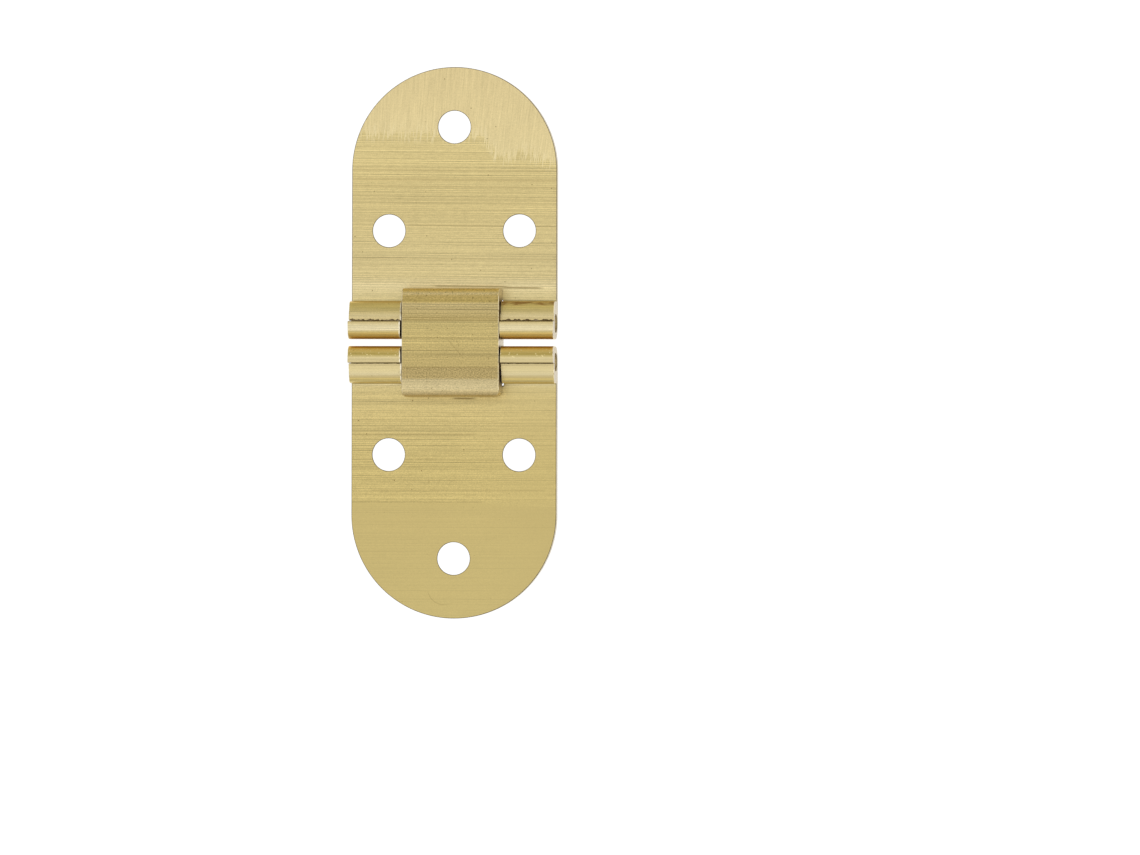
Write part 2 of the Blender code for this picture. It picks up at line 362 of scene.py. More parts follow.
def make_link(finishes):
    """The link: its section, two bores, and the two corners on the lower leaf rounded off."""
    flat = 5.3
    shoulder, shoulder_up = 5.95, 1.35
    heel = 4.75
    top_bend, end_bend = crown(
        flat, LINK_TOP, crown_radius=7.0, end=LINK_END, brow_radius=1.35, crown_steps=10, brow_steps=18
    )
    half = [(flat, LINK_TOP), top_bend, end_bend, (LINK_END, LINK_OVER_LEAF), (shoulder, LINK_OVER_LEAF)]
    half += [(shoulder, shoulder_up), (heel, shoulder_up, -90, 14), (0.0, LINK_UNDER)]
    back = [(-heel, LINK_UNDER), (-heel, shoulder_up, -90, 14), (-shoulder, LINK_OVER_LEAF)]
    back += [(-LINK_END, LINK_OVER_LEAF), (-LINK_END, end_bend[1]), (-end_bend[0], *end_bend[1:])]
    back += [(-top_bend[0], *top_bend[1:]), (0.0, LINK_TOP)]
    link = draw_bar("link_piece", (0.0, LINK_TOP), half + back, LINK_HALF, finishes)
    for side in (-1, 1):
        object_mode()
        bpy.ops.mesh.primitive_cylinder_add(
            vertices=72,
            radius=BORE * MM,
            depth=30 * MM,
            location=(0, side * PIN_OUT * MM, PIN_UP * MM),
            rotation=(0, math.pi / 2, 0),
        )
        bpy.ops.object.transform_apply(location=True, rotation=True, scale=True)
        cut(link, new_cutter(finishes, CUT))
    for side, radius in ((-1, 0.5), (1, 0.95)):
        round_corner(link, side, radius, finishes)
    for face in link.data.polygons:
        if abs(face.normal.x) > 0.9:
            face.material_index = CUT
        elif face.normal.z < -0.99 and face.center.z < 0.2 * MM:
            face.material_index = SHOW
    edit_all(link)  # the rounded corners leave points too close together to bevel
    bpy.ops.mesh.remove_doubles(threshold=0.004 * MM)
    bpy.ops.mesh.dissolve_limited(angle_limit=math.radians(0.5), delimit={"MATERIAL"})
    hidden = LINK_OVER_LEAF + 0.05  # the inner corner under each end stays sharp
    soften(link, EDGE_BREAK, EDGE, leave=lambda place: abs(abs(place.y) - shoulder) < 0.25 and place.z < hidden)
    return link


def round_corner(link, side, radius, finishes):
    """Rounds the corner of the link's end over the lower leaf, seen from above."""
    corner = block((-1, -1, -2), (1, 1, 9), finishes)
    edit_all(corner)
    bpy.ops.transform.translate(value=(side * (LINK_HALF + 1 - radius) * MM, -(LINK_END + 1 - radius) * MM, 0))
    object_mode()
    bpy.ops.mesh.primitive_cylinder_add(
        vertices=48,
        radius=radius * MM,
        depth=30 * MM,
        location=(side * (LINK_HALF - radius) * MM, -(LINK_END - radius) * MM, 3 * MM),
    )
    bpy.ops.object.transform_apply(location=True, rotation=True, scale=True)
    cut(corner, new_cutter(finishes, FACE))
    cut(link, corner)


def make_pin(name, out, finish):
    """A turned pin with chamfered ends and a shallow centre mark in each."""
    object_mode()
    bpy.ops.mesh.primitive_cylinder_add(
        vertices=64,
        radius=PIN_RADIUS * MM,
        depth=PIN_LENGTH * MM,
        location=(0, out * MM, PIN_UP * MM),
        rotation=(0, math.pi / 2, 0),
    )
    pin = bpy.context.object
    pin.name = name
    bpy.ops.object.transform_apply(location=True, rotation=True, scale=True)
    edit_all(pin)
    pick(pin, lambda place, normal: abs(normal.x) > 0.9, "FACE")
    bpy.ops.mesh.inset(thickness=0.85 * MM)
    bpy.ops.mesh.inset(thickness=0.25 * MM, depth=-0.12 * MM)
    object_mode()
    pin.data.materials.append(finish)
    soften(pin, 0.13, corner=60)
    return pin


# ---------------------------------------------------------------- finishes

def tone(red, green, blue):
    """A paint value from 0 to 255 as a linear colour."""
    parts = [c / 255 for c in (red, green, blue)]
    return tuple(c / 12.92 if c <= 0.04045 else ((c + 0.055) / 1.055) ** 2.4 for c in parts) + (1.0,)


class Finish:
    """A metal finish on a piece's own coordinates, in millimetres."""

    def __init__(self, name):
        self.material = bpy.data.materials.new(name)
        self.material.use_nodes = True
        self.tree = self.material.node_tree
        self.shader = self.tree.nodes["Principled BSDF"]
        place = self.node("TexCoord").outputs["Object"]
        self.place = self.node("VectorMath", {0: place, "Scale": 1 / MM}, operation="SCALE").outputs[0]
        self.x, self.y, self.z = self.node("SeparateXYZ", {0: self.place}).outputs

    def node(self, kind, inputs=None, **settings):
        made = self.tree.nodes.new("ShaderNode" + kind)
        for key, value in settings.items():
            setattr(made, key, value)
        for key, value in (inputs or {}).items():
            if isinstance(value, bpy.types.NodeSocket):
                self.tree.links.new(value, made.inputs[key])
            else:
                made.inputs[key].default_value = value
        return made

    def math(self, operation, *values):
        return self.node("Math", dict(enumerate(values)), operation=operation).outputs[0]

    def add(self, *values):
        total = values[0]
        for value in values[1:]:
            total = self.math("ADD", total, value)
        return total

    def times(self, *values):
        total = values[0]
        for value in values[1:]:
            total = self.math("MULTIPLY", total, value)
        return total

    def less(self, value, taken):
        return self.math("SUBTRACT", value, taken)

    def at(self, x, y, z):
        return self.node("CombineXYZ", {0: x, 1: y, 2: z}).outputs[0]

    def distance(self, x, y):
        """Distance from an upright axis through this place."""
        flat = self.at(self.x, self.y, 0.0)
        return self.node("VectorMath", {0: flat, 1: (x, y, 0)}, operation="DISTANCE").outputs["Value"]

    def rise(self, value, low, high):
        """0 below low, 1 above high and a smooth step between."""
        made = self.node("MapRange", {0: value, 1: low, 2: high}, interpolation_type="SMOOTHSTEP")
        return made.outputs[0]

    def spread(self, value, low, high, to_low, to_high):
        return self.node("MapRange", {0: value, 1: low, 2: high, 3: to_low, 4: to_high}, clamp=True).outputs[0]

    def near(self, value, middle, half, soft):
        """1 within half of the middle, and 0 a soft width further out."""
        away = self.math("ABSOLUTE", self.less(value, middle))
        return self.less(1.0, self.rise(away, half, half + soft))

    def mix(self, amount, first, second, way="MIX"):
        made = self.node("Mix", {0: amount, 6: first, 7: second}, data_type="RGBA", blend_type=way)
        return made.outputs[2]

    def shade(self, colour, amount):
        return self.node("VectorMath", {0: colour, "Scale": amount}, operation="SCALE").outputs[0]

    def grain(self, size, detail=2.0, rough=0.5, shift=(0, 0, 0), place=None):
        """Cloudy grain about 0, from -0.5 to 0.5, whose spots have this size in millimetres."""
        mapped = self.node("Mapping", {0: place or self.place, 1: shift, 3: size}, vector_type="TEXTURE")
        made = self.node("TexNoise", {0: mapped.outputs[0], "Scale": 1.0, "Detail": detail, "Roughness": rough})
        return self.less(made.outputs[0], 0.5)

    def ramp(self, value, stops):
        """A colour along a value, joined smoothly from stop to stop."""
        low, high = stops[0][0], stops[-1][0]
        made = self.node("ValToRGB", {0: self.spread(value, low, high, 0, 1)})
        elements = made.color_ramp.elements
        elements[0].color, elements[1].color = stops[0][1], stops[-1][1]
        for where, colour in stops[1:-1]:
            elements.new((where - low) / (high - low)).color = colour
        return made.outputs[0]

    def profile(self, value, stops):
        """A number along a value, joined by straight lines."""
        numbers = [number for where, number in stops]
        low, high = min(numbers), max(numbers)
        greys = [(where, ((number - low) / (high - low),) * 3 + (1,)) for where, number in stops]
        return self.spread(self.ramp(value, greys), 0, 1, low, high)

    def finish(self, colour, rough, height, depth):
        """Joins colour, roughness and a relief of this depth in millimetres to the shader."""
        links = self.tree.links
        self.shader.inputs["Metallic"].default_value = 1.0
        links.new(colour, self.shader.inputs["Base Color"])
        links.new(rough, self.shader.inputs["Roughness"])
        bump = self.node("Bump", {"Height": height, "Distance": depth * MM})
        links.new(bump.outputs[0], self.shader.inputs["Normal"])
        return self.material


def drawn_lines(paint, slope, shift=0.0, dash=1.2):
    """What the drawing die leaves along X: soft bands, fine lines that come and go, and short dashes."""
    sway = paint.times(paint.grain((30, 10, 10), detail=1), 0.2)
    level = paint.add(paint.y, paint.times(paint.x, slope), sway)
    place = paint.at(paint.x, level, paint.z)
    bands = paint.grain((110, 1.2, 1.2), detail=2, shift=(0, shift, 0), place=place)
    lines = paint.grain((400, 0.125, 0.125), detail=1, rough=0.6, shift=(3, shift + 5, 1), place=place)
    fade = paint.grain((16, 0.5, 0.5), detail=1, shift=(2, shift, 0), place=place)
    strength = paint.spread(fade, -0.2, 0.2, 0.45, 1.55)
    dashes = paint.grain((dash, 0.10, 0.10), detail=1, shift=(7, shift + 1, 4), place=place)
    return bands, paint.times(lines, strength), dashes, level


def scores(paint, level, lines):
    """Single scored lines along X: height up the leaf, width, from and to across, and strength."""
    total = 0.0
    for where, width, left, right, strength in lines:
        line = paint.near(level, where, width * 0.25, width * 0.6)
        reach = paint.near(paint.x, (left + right) / 2, (right - left) / 2 - 0.5, 1.5)
        total = paint.math("MAXIMUM", total, paint.times(line, reach, strength))
    return total


def pits(paint, spacing, size, share, shift=(0, 0, 0)):
    """Small dark pits: one in some of the cells of a loose grid."""
    moved = paint.node("Mapping", {0: paint.place, 1: shift, 3: (spacing,) * 3}, vector_type="TEXTURE").outputs[0]
    cells = paint.node("TexVoronoi", {0: moved, "Scale": 1.0})
    chosen = paint.node("SeparateColor", {0: cells.outputs["Color"]}).outputs[0]
    spot = paint.less(1.0, paint.rise(cells.outputs["Distance"], size * 0.4 / spacing, size / spacing))
    return paint.times(spot, paint.math("GREATER_THAN", chosen, 1 - share))


def lined(paint, colour, bands, lines, dashes, amount):
    """Shades a colour with the die's lines: both ways, and deeper lines a little darker still."""
    deep = paint.times(paint.rise(paint.times(lines, -1.0), 0.08, 0.3), -0.22)
    change = paint.add(paint.times(bands, 0.36), paint.times(lines, 1.35), paint.times(dashes, 0.36), deep, 0.01)
    return paint.shade(colour, paint.add(1.0, paint.times(change, amount)))


def nearest_hole(paint):
    """Distance from the axis of the nearest screw hole."""
    nearest = None
    for across, out in HOLES:
        for side in (-1, 1):
            away = paint.distance(across, side * out)
            nearest = away if nearest is None else paint.math("MINIMUM", nearest, away)
    return nearest


def painted_lip_highlight(paint, across):
    """A painted highlight that comes and goes along the left knuckle's inner end, as on a raised lip catching the
    light.
    """
    ragged = paint.grain((0.3, 0.5, 0.5), detail=2, rough=0.7)
    line = paint.near(paint.add(paint.x, paint.times(ragged, 0.12)), across, 0.07, 0.06)
    return paint.times(line, paint.rise(paint.z, 1.7, 2.2), paint.rise(ragged, -0.2, 0.05), 0.85)


def upper_brass():
    """The upper leaf: drawn lines, knuckles with golden flanks and painted light and shade along their profile, and a
    belt-sanded round end.
    """
    paint = Finish("drawn_brass_upper")
    bands, lines, dashes, level = drawn_lines(paint, 0.010)
    wide = paint.grain((12, 9, 9), detail=2)
    speckle = paint.grain((0.14, 0.12, 0.12), detail=2, rough=0.6)
    raised = paint.rise(paint.z, 1.52, 1.75)
    # colour along the leaf and round the knuckle, with painted light and shade in both ramps
    colour = paint.mix(raised, paint.ramp(paint.y, UPPER_LEAF_TONES_AND_PAINTED_LIGHT), paint.ramp(paint.y, UPPER_KNUCKLE_TONES_AND_PAINTED_SHADING))
    dusk = paint.times(paint.rise(paint.x, 2, 10), paint.near(paint.y, 10.8, 2.2, 2.0))
    colour = paint.shade(colour, paint.less(1.0, paint.times(dusk, 0.03)))
    colour = lined(paint, colour, bands, lines, dashes, paint.spread(raised, 0, 1, 1.0, 0.5))
    scored = scores(paint, level, UPPER_SCORES)
    # belt-sanded end, whose ragged lower edge steps down on the right
    lean = paint.times(paint.add(paint.times(paint.x, 0.0045), 0.085), paint.less(paint.y, 30.0))
    across = paint.less(paint.x, lean)
    sanding = paint.at(across, paint.y, paint.z)
    streaks = paint.grain((0.2, 7, 9), detail=2, rough=0.7, place=sanding)
    bristles = paint.grain((0.17, 2.2, 5), detail=1, rough=0.7, shift=(9, 2, 0), place=sanding)
    edge = paint.profile(across, CAP_EDGE)
    depth = paint.less(paint.add(paint.y, paint.times(bristles, paint.spread(across, 4, 7, 3.6, 4.8))), edge)
    sanded = paint.rise(depth, -0.3, 0.35)
    fringe = paint.times(paint.near(paint.less(paint.y, edge), 0.2, 0.5, 1.4), paint.rise(bristles, 0.0, 0.16))
    brushed = paint.add(1.0, paint.times(streaks, 0.42), paint.times(bristles, 0.16))
    cap = paint.shade(paint.ramp(paint.y, CAP_TONES), brushed)
    colour = paint.mix(paint.times(scored, paint.less(1.0, paint.times(sanded, 0.6))), colour, tone(150, 132, 88))
    colour = paint.mix(paint.times(sanded, 0.92), colour, cap)
    colour = paint.mix(paint.times(fringe, 0.55), colour, tone(230, 215, 168))
    # painted highlight along the knuckle's inner end
    colour = paint.mix(painted_lip_highlight(paint, -7.41), colour, tone(252, 243, 220))
    # a darker brown band along the root's brow at the right end, beside the link, broken into patches
    right_brow_band = paint.times(paint.near(paint.y, 5.68, 0.16, 0.2), paint.rise(paint.x, 6.5, 7.5))
    brow_band_breaks = paint.rise(paint.grain((1.8, 0.3, 0.4), detail=3, rough=0.7), -0.12, 0.08)
    colour = paint.mix(paint.times(right_brow_band, brow_band_breaks, 0.8), colour, tone(150, 106, 54))
    spots = pits(paint, 1.3, 0.12, 0.40)
    colour = paint.mix(paint.times(spots, 0.7), colour, tone(116, 96, 56))
    grainy = paint.spread(sanded, 0, 1, 0.52, 0.40)
    colour = paint.shade(colour, paint.add(1.0, paint.times(speckle, grainy), paint.times(wide, 0.10)))
    rough = paint.add(0.37, paint.times(bands, 0.10), paint.times(sanded, 0.05))
    drawn = paint.less(paint.add(paint.times(lines, 0.4), paint.times(dashes, 0.2)), paint.times(scored, 0.7))
    relief = paint.node("Mix", {0: paint.times(sanded, 0.8), 2: drawn, 3: streaks}).outputs[0]
    return paint.finish(colour, rough, paint.less(relief, paint.times(spots, 1.5)), 0.006)


# Colours by place along the leaf, in millimetres out from the middle. Beside the brass's own tone they carry painted
# light: lighter and darker bands by the knuckle's foot and the link's end, and painted light and shade round the
# knuckle's profile.
UPPER_LEAF_TONES_AND_PAINTED_LIGHT = (
    (6.4, tone(218, 202, 148)),
    (7.2, tone(208, 192, 142)),
    (8.3, tone(216, 200, 152)),
    (9.6, tone(206, 189, 137)),
    (20.0, tone(204, 186, 131)),
    (24.0, tone(206, 188, 132)),
    (30.0, tone(211, 193, 137)),
)
CAP_TONES = ((26.0, tone(222, 205, 154)), (33.0, tone(221, 203, 152)), (40.0, tone(219, 200, 149)))
# Round the knuckle: golden flanks, with painted highlights on the tongue's top and the root's brow and painted shade at
# the seam and the tongue's shoulder
UPPER_KNUCKLE_TONES_AND_PAINTED_SHADING = (
    (0.5, tone(204, 176, 110)),
    (1.2, tone(198, 166, 90)),
    (1.6, tone(184, 167, 114)),
    (1.85, tone(228, 213, 170)),
    (2.4, tone(213, 200, 158)),
    (3.0, tone(206, 186, 130)),
    (3.9, tone(216, 199, 148)),
    (4.6, tone(205, 186, 123)),
    (5.1, tone(198, 178, 108)),
    (5.6, tone(206, 182, 106)),
    (5.9, tone(230, 200, 120)),
    (6.4, tone(248, 228, 150)),
)
# Where the sanding ends: place across, place along
CAP_EDGE = (
    (-15.0, 30.4),
    (4.2, 30.0),
    (6.2, 27.4),
    (8.4, 26.5),
    (10.4, 27.6),
    (12.4, 26.8),
    (15.0, 25.8),
)
# Scored lines: place along the leaf, width, left and right end, strength
UPPER_SCORES = (
    (29.4, 0.13, -13.8, 5.0, 0.16),
    (25.0, 0.30, -15.0, 15.0, 0.20),
    (23.6, 0.40, -15.0, 15.0, 0.28),
    (22.6, 0.18, -15.0, 15.0, 0.30),
    (17.0, 0.14, -6.5, 15.0, 0.40),
    (12.2, 0.12, -15.0, 15.0, 0.35),
    (8.23, 0.18, -2.6, 7.6, 0.7),
    (8.1, 0.20, 7.4, 12.4, 0.85),
)


def lower_brass():
    """The lower leaf: the same lines, fainter on the right, knuckles with painted light and shade along their profile,
    and a plain smooth end.
    """
    paint = Finish("drawn_brass_lower")
    out = paint.times(paint.y, -1.0)
    bands, lines, dashes, level = drawn_lines(paint, -0.002, 20.0, dash=3.0)
    lines, dashes = (paint.math("MINIMUM", groove, 0.05) for groove in (lines, dashes))
    wide = paint.grain((12, 9, 9), detail=2, shift=(4, 4, 0))
    speckle = paint.grain((0.14, 0.12, 0.12), detail=2, rough=0.6)
    raised = paint.rise(paint.z, 1.52, 1.75)
    smooth = paint.rise(paint.add(out, paint.times(wide, 0.3)), 23.1, paint.spread(paint.x, 4, 13, 23.35, 24.6))
    calm = paint.less(1.0, paint.times(paint.rise(paint.x, 2, 12), 0.5))
    amount = paint.times(calm, paint.less(1.0, paint.times(smooth, 0.75)), paint.spread(raised, 0, 1, 1.25, 0.6))
    # colour along the leaf and round the knuckle, with painted light and shade in both ramps
    colour = paint.mix(raised, paint.ramp(out, LOWER_LEAF_TONES_AND_PAINTED_LIGHT), paint.ramp(out, LOWER_KNUCKLE_TONES_AND_PAINTED_SHADING))
    colour = paint.mix(paint.times(paint.rise(paint.x, 2, 12), 0.6), colour, paint.shade(colour, 0.965))
    colour = lined(paint, colour, bands, lines, dashes, amount)
    scored = scores(paint, level, LOWER_SCORES)
    ring = paint.distance(*RING_MARK)
    corner = paint.times(paint.rise(paint.x, 0.2, -2.0), paint.rise(paint.y, -35.5, -37.0))
    arc = paint.times(paint.near(ring, RING_MARK_RADIUS, 0.03, 0.07), corner, 0.3)
    colour = paint.mix(paint.math("MAXIMUM", scored, arc), colour, tone(138, 120, 76))
    # painted highlight along the knuckle's inner end
    colour = paint.mix(painted_lip_highlight(paint, -7.36), colour, tone(252, 243, 220))
    glints = paint.times(pits(paint, 0.34, 0.12, 0.55, (3, 8, 1)), raised, paint.near(out, 1.5, 0.5, 0.4))
    colour = paint.mix(paint.times(glints, 0.6), colour, tone(248, 232, 176))
    spots = pits(paint, 1.3, 0.12, 0.40, (7, 3, 0))
    colour = paint.mix(paint.times(spots, amount, 0.7), colour, tone(112, 92, 52))
    grainy = paint.add(paint.times(amount, 0.55), 0.12)
    colour = paint.shade(colour, paint.add(1.0, paint.times(speckle, grainy), paint.times(wide, 0.06)))
    rough = paint.add(0.38, paint.times(bands, 0.10), paint.times(smooth, 0.06))
    drawn = paint.times(paint.add(paint.times(lines, 0.4), paint.times(dashes, 0.2)), amount)
    relief = paint.less(drawn, paint.times(paint.add(spots, scored), 0.8))
    return paint.finish(colour, rough, relief, 0.006)


# Colours by place along the lower leaf, in millimetres out from the middle. Beside the brass's own tone, the lighter
# band by the knuckle's foot is painted light.
LOWER_LEAF_TONES_AND_PAINTED_LIGHT = (
    (6.0, tone(220, 204, 154)),
    (6.6, tone(206, 188, 132)),
    (8.0, tone(204, 185, 127)),
    (12.0, tone(200, 181, 122)),
    (18.0, tone(198, 179, 118)),
    (23.0, tone(198, 179, 118)),
    (24.5, tone(198, 179, 119)),
    (40.0, tone(198, 180, 120)),
)
# Round the knuckle: golden flanks, with painted highlights on the tongue's top and the root's brow and painted shade at
# the tongue's shoulder and before the brow
LOWER_KNUCKLE_TONES_AND_PAINTED_SHADING = (
    (0.5, tone(230, 192, 100)),
    (1.1, tone(232, 198, 110)),
    (1.4, tone(196, 172, 100)),
    (1.7, tone(166, 146, 80)),
    (1.95, tone(194, 177, 119)),
    (2.2, tone(214, 198, 149)),
    (3.0, tone(202, 185, 136)),
    (3.8, tone(210, 194, 144)),
    (4.6, tone(206, 192, 148)),
    (5.0, tone(186, 168, 118)),
    (5.3, tone(208, 186, 116)),
    (5.8, tone(238, 218, 154)),
)
LOWER_SCORES = (
    (-8.05, 0.22, 0.2, 2.8, 0.9),
    (-11.4, 0.12, -15.0, 6.0, 0.30),
    (-13.3, 0.14, -15.0, 3.0, 0.40),
    (-17.0, 0.12, -15.0, 12.0, 0.35),
    (-21.4, 0.12, -12.0, 13.0, 0.30),
    (-23.1, 0.12, -15.0, 4.0, 0.30),
)
# Faint ring near the lower end, of which a quarter shows
RING_MARK = (-1.4, -35.6)
RING_MARK_RADIUS = 2.4


def link_brass():
    """The link: a linished middle with fine lines and specks, duller ends in the rough, and painted light on the bends
    of its ends.
    """
    paint = Finish("linished_brass")
    bands, lines, dashes, level = drawn_lines(paint, 0.004, 40.0)
    wide = paint.grain((5, 3, 4), detail=2)
    speckle = paint.grain((0.22, 0.16, 0.16), detail=3, rough=0.7)
    along = paint.add(paint.y, paint.times(speckle, 0.4))
    # colour along the link: its own tones, with painted light on the bends of its ends
    colour = paint.ramp(along, LINK_TONES_AND_PAINTED_LIGHT)
    lower_end = paint.rise(paint.times(level, -1.0), 3.70, 3.80)
    upper_end = paint.rise(level, 5.75, 5.85)
    ends = paint.math("MAXIMUM", lower_end, upper_end)
    colour = lined(paint, colour, bands, lines, dashes, paint.spread(ends, 0, 1, 0.85, 0.35))
    grainy = paint.add(1.35, paint.times(paint.near(level, -4.45, 0.7, 0.4), 1.2))
    colour = paint.shade(colour, paint.add(1.0, paint.times(speckle, grainy), paint.times(wide, 0.14)))
    scored = scores(paint, level, LINK_SCORES)
    for start, end, strength in LINK_SCRATCHES:
        scored = paint.math("MAXIMUM", scored, scratch(paint, start, end, strength))
    colour = paint.mix(scored, colour, tone(128, 108, 64))
    few, many = pits(paint, 0.75, 0.12, 0.35, (2, 1, 0)), pits(paint, 0.5, 0.13, 0.5)
    spots = paint.math("MAXIMUM", few, paint.times(many, upper_end))
    colour = paint.mix(paint.times(spots, 0.6), colour, tone(112, 92, 50))
    rough = paint.add(0.40, paint.times(ends, 0.08), paint.times(bands, 0.08))
    relief = paint.add(paint.times(lines, 0.3), paint.times(dashes, 0.2), paint.times(speckle, 0.5))
    return paint.finish(colour, rough, paint.less(relief, paint.math("MAXIMUM", scored, spots)), 0.006)


def scratch(paint, start, end, strength):
    """A thin straight scratch between two places on the top."""
    way = Vector(end) - Vector(start)
    length = way.length
    way.normalize()
    x, y = paint.less(paint.x, start[0]), paint.less(paint.y, start[1])
    along = paint.add(paint.times(x, way.x), paint.times(y, way.y))
    aside = paint.add(paint.times(x, -way.y), paint.times(y, way.x))
    line, reach = paint.near(aside, 0.0, 0.02, 0.07), paint.near(along, length / 2, length / 2 - 0.3, 0.5)
    return paint.times(line, reach, strength)


# Colours along the link, in millimetres: a linished middle and duller ends, with the bends of both ends made lighter,
# which is painted light
LINK_TONES_AND_PAINTED_LIGHT = (
    (-7.85, tone(214, 192, 136)),
    (-7.1, tone(214, 194, 142)),
    (-6.7, tone(203, 187, 142)),
    (-5.4, tone(196, 180, 135)),
    (-5.1, tone(180, 160, 108)),
    (-3.75, tone(178, 158, 106)),
    (-3.55, tone(185, 165, 109)),
    (0.0, tone(190, 171, 113)),
    (3.0, tone(188, 170, 113)),
    (3.4, tone(182, 162, 106)),
    (5.6, tone(186, 168, 118)),
    (5.95, tone(184, 162, 97)),
    (6.8, tone(190, 167, 104)),
    (7.1, tone(219, 199, 142)),
    (7.5, tone(225, 197, 116)),
    (7.85, tone(234, 206, 126)),
)
LINK_SCORES = (
    (-3.62, 0.16, -8.0, 8.0, 0.40),
    (0.72, 0.12, -8.0, 8.0, 0.30),
    (3.2, 0.14, -8.0, 8.0, 0.45),
    (3.55, 0.12, -8.0, 8.0, 0.40),
)
LINK_SCRATCHES = (((-0.4, 0.5), (1.9, -2.2), 0.30), ((0.3, 1.2), (1.6, -0.8), 0.22))


def cut_brass():
    """Blanked edges and end faces: paler, with the punch's marks, and painted shade on the screw holes' walls, in the
    gaps beside the link and down the seams.
    """
    paint = Finish("cut_brass")
    streaks = paint.grain((0.12, 0.12, 1.6), detail=3, rough=0.65)
    patches = paint.grain((0.9, 0.9, 0.7), detail=3, rough=0.6)
    # painted shade on the walls of the screw holes
    inside = paint.less(1.0, paint.rise(nearest_hole(paint), 2.5, 2.7))
    colour = paint.mix(inside, tone(212, 198, 168), tone(128, 108, 70))
    colour = paint.shade(colour, paint.add(0.95, paint.times(streaks, 0.7), paint.times(patches, 0.6)))
    across, out = (paint.math("ABSOLUTE", way) for way in (paint.x, paint.y))
    # painted shade in the gaps between the knuckles' ends and the link, and down the seam, broken up in patches
    gap = paint.times(paint.near(across, 7.2, 0.3, 0.1), paint.near(out, 3.3, 2.5, 1.2), paint.rise(out, 0.2, 0.8))
    within = paint.less(1.0, paint.rise(across, 14.8, 14.95))
    seam = paint.times(paint.near(out, 3.1, 0.7, 0.2), paint.rise(paint.z, 3.6, 4.0), within)
    gap_and_seam_shade = paint.times(paint.math("MAXIMUM", gap, seam), paint.spread(patches, -0.2, 0.1, 0.5, 1.0))
    colour = paint.mix(gap_and_seam_shade, colour, paint.mix(seam, tone(92, 72, 40), tone(144, 120, 78)))
    rough = paint.add(0.36, paint.times(patches, 0.3), paint.times(gap_and_seam_shade, 0.25))
    return paint.finish(colour, rough, streaks, 0.015)


def edge_brass():
    """Broken edges: paler at the bottom, dark up to the plate's top, where dull punched metal carries painted shade,
    and bright on the knuckles and the link, which is a painted highlight over rubbed edges.
    """
    paint = Finish("edge_brass")
    patches = paint.grain((0.8, 0.8, 0.8), detail=3, rough=0.65)
    # dull punched metal with painted shade: the dark line along the outline and the holes
    punched_and_shaded = paint.mix(paint.rise(patches, 0.0, 0.25), tone(96, 82, 54), tone(164, 146, 104))
    rubbed = paint.mix(paint.rise(patches, -0.1, 0.2), tone(184, 164, 112), tone(224, 206, 152))
    low = paint.mix(paint.rise(paint.z, 0.3, 0.4), rubbed, punched_and_shaded)
    # painted highlight on the edges high up, over rubbed brass
    high = paint.mix(paint.rise(patches, -0.25, 0.05), tone(150, 126, 78), tone(244, 230, 190))
    colour = paint.mix(paint.rise(paint.z, 1.6, 2.0), low, high)
    rough = paint.add(0.42, paint.times(patches, 0.3))
    return paint.finish(colour, rough, patches, 0.01)


def turned_brass():
    """Countersinks: fine rings about each hole."""
    paint = Finish("turned_brass")
    away = nearest_hole(paint)
    fine = paint.grain((0.09, 1, 1), detail=2, rough=0.6, place=paint.at(away, 0.0, 0.0))
    patches = paint.grain((1.5, 1.5, 1.5), detail=2)
    colour = paint.mix(paint.rise(fine, -0.2, 0.2), tone(196, 176, 116), tone(228, 211, 158))
    colour = paint.shade(colour, paint.add(1.0, paint.times(patches, 0.25)))
    rough = paint.add(0.28, paint.times(fine, 0.2))
    return paint.finish(colour, rough, fine, 0.008)


def show_brass():
    """The show side: straight polished grain along the leaf, with a few handling marks."""
    paint = Finish("polished_brass")
    grain = paint.grain((0.11, 26, 1), detail=3, rough=0.6)
    wide = paint.grain((10, 16, 8), detail=2)
    rubs = paint.rise(paint.grain((0.16, 5, 1), detail=1, shift=(3, 8, 0)), 0.2, 0.3)
    colour = paint.mix(paint.rise(wide, -0.15, 0.15), tone(216, 196, 134), tone(224, 206, 148))
    colour = paint.shade(colour, paint.add(1.0, paint.times(grain, 0.30), paint.times(rubs, -0.12)))
    rough = paint.add(0.25, paint.times(wide, 0.15), paint.times(rubs, 0.1))
    return paint.finish(colour, rough, grain, 0.004)


def pin_brass():
    """The pins: turned brass, darker and rougher than the leaves, in patches."""
    paint = Finish("pin_brass")
    rings = paint.grain((0.12, 6, 6), detail=2, rough=0.6)
    patches = paint.grain((0.8, 0.8, 0.8), detail=3)
    colour = paint.mix(paint.rise(patches, -0.1, 0.2), tone(176, 156, 112), tone(128, 110, 76))
    colour = paint.shade(colour, paint.add(1.0, paint.times(rings, 0.5)))
    rough = paint.add(0.42, paint.times(patches, 0.25))
    return paint.finish(colour, rough, rings, 0.006)


# ---------------------------------------------------------------- the hinge

shared_finishes = [cut_brass(), turned_brass(), show_brass(), edge_brass()]
upper_finishes = [upper_brass()] + shared_finishes
lower_finishes = [lower_brass()] + shared_finishes
link_finishes = [link_brass()] + shared_finishes

